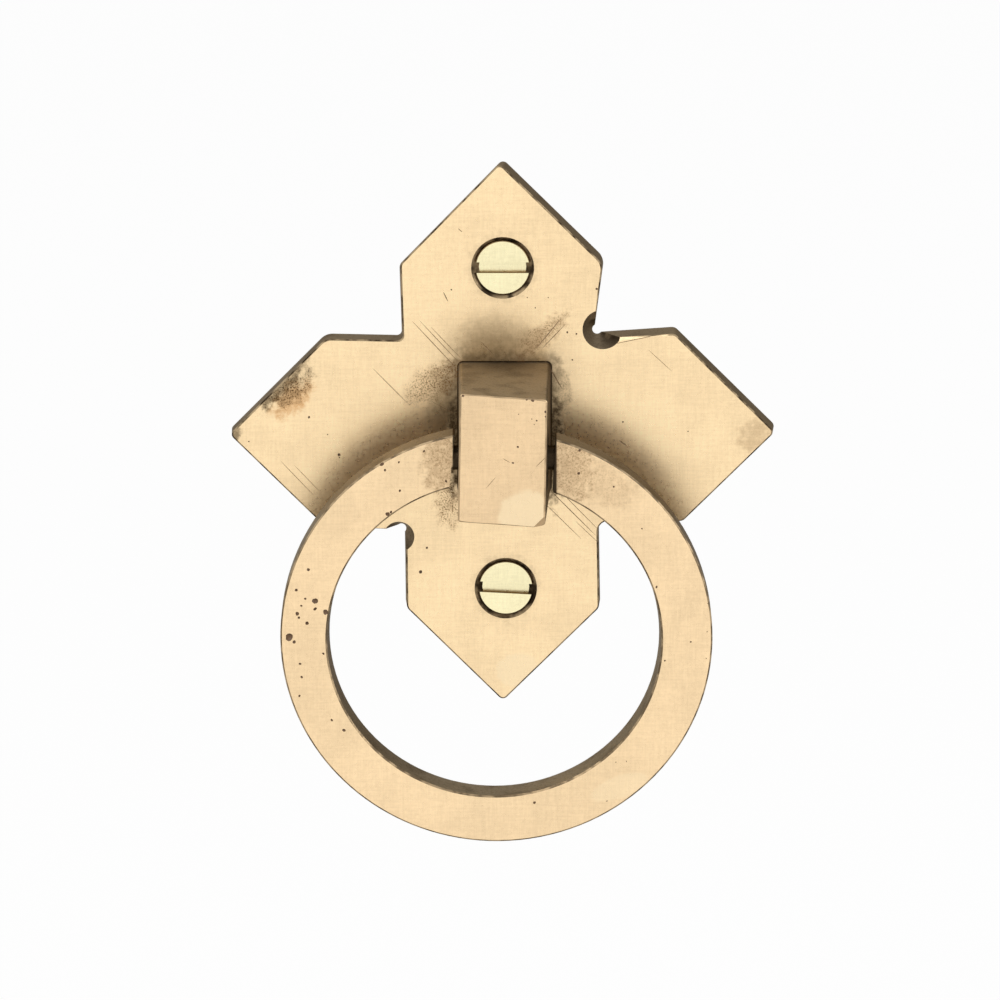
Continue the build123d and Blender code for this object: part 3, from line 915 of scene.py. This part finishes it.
def turned_rows(length):
    """The screw from head to point, as rows: the radii round it, and how far along it they lie."""
    head_radius = SCREW_HEAD / 2
    shank_radius = SCREW_SHANK / 2
    cone_end = SCREW_HEAD_LAND + head_radius - shank_radius
    outline = [
        (HEAD_CENTRE_RADIUS, 0.0),
        (head_radius * HEAD_MIDDLE_SHARE, 0.0),
        (head_radius - SCREW_RIM_BREAK, 0.0),
        (head_radius, SCREW_RIM_BREAK),
        (head_radius, SCREW_HEAD_LAND),
        (shank_radius, cone_end),
        (shank_radius, SCREW_PLAIN_LENGTH),
    ]
    rows = [([radius] * SCREW_SIDES, along) for radius, along in outline]
    threaded = length - SCREW_PLAIN_LENGTH
    steps = int(threaded / SCREW_THREAD_PITCH * STEPS_PER_TURN)
    for step in range(1, steps):
        along = SCREW_PLAIN_LENGTH + threaded * step / steps
        radii = [thread_radius(along, side / SCREW_SIDES, length) for side in range(SCREW_SIDES)]
        rows.append((radii, along))
    return rows


def turned_shape(length):
    """The screw as one closed shape: rings of corners, joined one to the next."""
    builder = bmesh.new()
    rings = []
    for radii, along in turned_rows(length):
        ring = []
        for side, radius in enumerate(radii):
            angle = math.tau * side / SCREW_SIDES
            corner = (radius * math.cos(angle) * MM, along * MM, radius * math.sin(angle) * MM)
            ring.append(builder.verts.new(corner))
        rings.append(ring)
    for ring, following in zip(rings, rings[1:]):
        for side in range(SCREW_SIDES):
            nearby = (side + 1) % SCREW_SIDES
            builder.faces.new((ring[side], ring[nearby], following[nearby], following[side]))
    builder.faces.new(rings[0][::-1])
    tip = builder.verts.new((0.0, length * MM, 0.0))
    for side in range(SCREW_SIDES):
        builder.faces.new((rings[-1][side], rings[-1][(side + 1) % SCREW_SIDES], tip))
    bmesh.ops.recalc_face_normals(builder, faces=builder.faces)
    return builder


def slot_cutter(node, place):
    """The bar that cuts the slot across a screw's head."""
    builder = bmesh.new()
    bmesh.ops.create_cube(builder, size=1.0)
    slot = object_from(builder, node + "_slot")
    slot.scale = Vector((2 * SCREW_HEAD, 2 * SLOT_DEPTH, SLOT_WIDTH)) * MM
    slot.rotation_euler = (0.0, math.radians(SLOT_TURNS[node]), 0.0)
    slot.location = place
    bpy.context.view_layer.update()
    return hidden_cutter(slot, "plate")


def wood_screw(node, material):
    """A slotted countersunk wood screw with a cut thread and a gimlet point, on its node's own axis."""
    low, high = (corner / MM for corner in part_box(node))
    across, up = screw_axis(node)
    screw = object_from(turned_shape(high.y - low.y), node + "_turned")
    screw.location = Vector((across, low.y, up)) * MM
    screw.data.materials.append(material)
    bpy.context.view_layer.update()

    slot = slot_cutter(node, screw.location)
    cut = screw.modifiers.new("slot", "BOOLEAN")
    cut.operation = "DIFFERENCE"
    cut.object = slot
    shade = screw.modifiers.new("shade by angle", "NODES")
    shade.node_group = SHADING
    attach(screw, "plate")
    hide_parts(node)


def build_pull():
    """Every piece of the pull; the screws and the cutters are put on their bodies."""
    plate_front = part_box("backplate")[0].y / MM
    block_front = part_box("block")[0].y / MM
    ring_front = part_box("ring")[0].y / MM
    dress_node(
        "backplate",
        brass_material(
            PLATE_FINISH, plate_front, PLATE_BRASS, PLATE_SKIN, PLATE_BACK,
            PLATE_EDGE_DIRT_AND_SHADE, PLATE_RIGHT_SHADE, PLATE_BROWN_STAINS, PLATE_STAINS_AND_SHADE, PLATE_PAINTED_HIGHLIGHTS,
        ),
        mark_cutter("plate_marks", PLATE_PITS, PLATE_SCRATCHES, plate_front, "plate", PLATE_SEED),
    )
    dress_node(
        "block",
        brass_material(
            BLOCK_FINISH, block_front, BLOCK_BRASS, BLOCK_SKIN, TENON_BACK,
            BLOCK_EDGE_DIRT, BLOCK_RIGHT_SHADE, (), (), BLOCK_PAINTED_HIGHLIGHTS,
        ),
        mark_cutter("block_marks", BLOCK_PITS, BLOCK_SCRATCHES, block_front, "plate", BLOCK_SEED),
    )
    dress_node(
        "ring",
        brass_material(
            RING_FINISH, ring_front, RING_BRASS, RING_SKIN, RING_BACK,
            RING_EDGE_DIRT, RING_RIGHT_SHADE, RING_BROWN_STAINS, (), RING_PAINTED_HIGHLIGHTS,
        ),
        mark_cutter("ring_marks", RING_PITS, (), ring_front, "ring", RING_SEED),
    )
    turned = screw_material()
    for node in SCREW_NODES:
        wood_screw(node, turned)


def build_floor():
    """A plain pale floor well below the pull, which hangs on a drawer front."""
    builder = bmesh.new()
    bmesh.ops.create_circle(
        builder, cap_ends=True, segments=FLOOR_SIDES, radius=FLOOR_RADIUS * MM
    )
    floor = object_from(builder, "floor")
    floor.location.z = cad_box[0].z - FLOOR_DROP * MM
    material = bpy.data.materials.new("pale floor")
    material.use_nodes = True
    tree = material.node_tree
    matt = tree.nodes["Principled BSDF"]
    matt.inputs["Base Color"].default_value = FLOOR_GREY
    matt.inputs["Roughness"].default_value = FLOOR_ROUGHNESS
    matt.inputs["Specular IOR Level"].default_value = FLOOR_GLOSS
    white = add(tree, "ShaderNodeEmission", {"Color": WHITE, "Strength": 1.0})
    white_share = calc(tree, "MULTIPLY", seen_directly(tree), FLOOR_WHITE_SHARE)
    inputs = {0: white_share, 1: matt.outputs[0], 2: white.outputs[0]}
    both = add(tree, "ShaderNodeMixShader", inputs)
    tree.links.new(both.outputs[0], tree.nodes["Material Output"].inputs["Surface"])
    floor.data.materials.append(material)


def seen_directly(tree):
    """1 for what the camera sees, straight or in metal or glass, and 0 for the light on the object."""
    ray = tree.nodes.new("ShaderNodeLightPath").outputs
    seen = calc(tree, "MAXIMUM", ray["Is Camera Ray"], ray["Is Glossy Ray"])
    return calc(tree, "MAXIMUM", seen, ray["Is Transmission Ray"])


def build_world():
    """White all round for the camera and for reflections, and a softer light on everything else."""
    world = bpy.data.worlds.new("white studio")
    bpy.context.scene.world = world
    world.use_nodes = True
    tree = world.node_tree
    background = tree.nodes["Background"]
    background.inputs["Color"].default_value = WHITE
    strength = blend_value(tree, seen_directly(tree), WORLD_LIGHT, 1.0)
    tree.links.new(strength, background.inputs["Strength"])


def soft_lamp(name, place, size, power):
    """A large square lamp that looks at the pull."""
    light = bpy.data.lights.new(name, "AREA")
    light.size = size * MM
    light.energy = power
    lamp = bpy.data.objects.new(name, light)
    bpy.context.scene.collection.objects.link(lamp)
    lamp.location = Vector(place) * MM
    aim = Vector(CAMERA_TARGET) * MM - lamp.location
    lamp.rotation_euler = aim.to_track_quat("-Z", "Y").to_euler()


def build_camera():
    """The camera of the picture: long lens, straight on from left to right, a little above."""
    camera_data = bpy.data.cameras.new("camera")
    camera_data.sensor_width = SENSOR_WIDTH
    camera_data.lens = SENSOR_WIDTH * CAMERA_DISTANCE / VIEW_WIDTH
    camera_data.clip_end = CAMERA_REACH * MM
    camera = bpy.data.objects.new("camera", camera_data)
    bpy.context.scene.collection.objects.link(camera)
    elevation = math.radians(CAMERA_ELEVATION)
    forward = Vector((0.0, math.cos(elevation), -math.sin(elevation)))
    camera.location = (Vector(CAMERA_TARGET) - forward * CAMERA_DISTANCE) * MM
    camera.rotation_euler = forward.to_track_quat("-Z", "Y").to_euler()
    bpy.context.scene.camera = camera


build_pull()
build_floor()
build_world()
for lamp_name, (lamp_place, lamp_size, lamp_power) in SOFT_LAMPS.items():
    soft_lamp(lamp_name, lamp_place, lamp_size, lamp_power)
build_camera()
bpy.context.scene.view_settings.view_transform = "Standard"

bpy.context.view_layer.update()
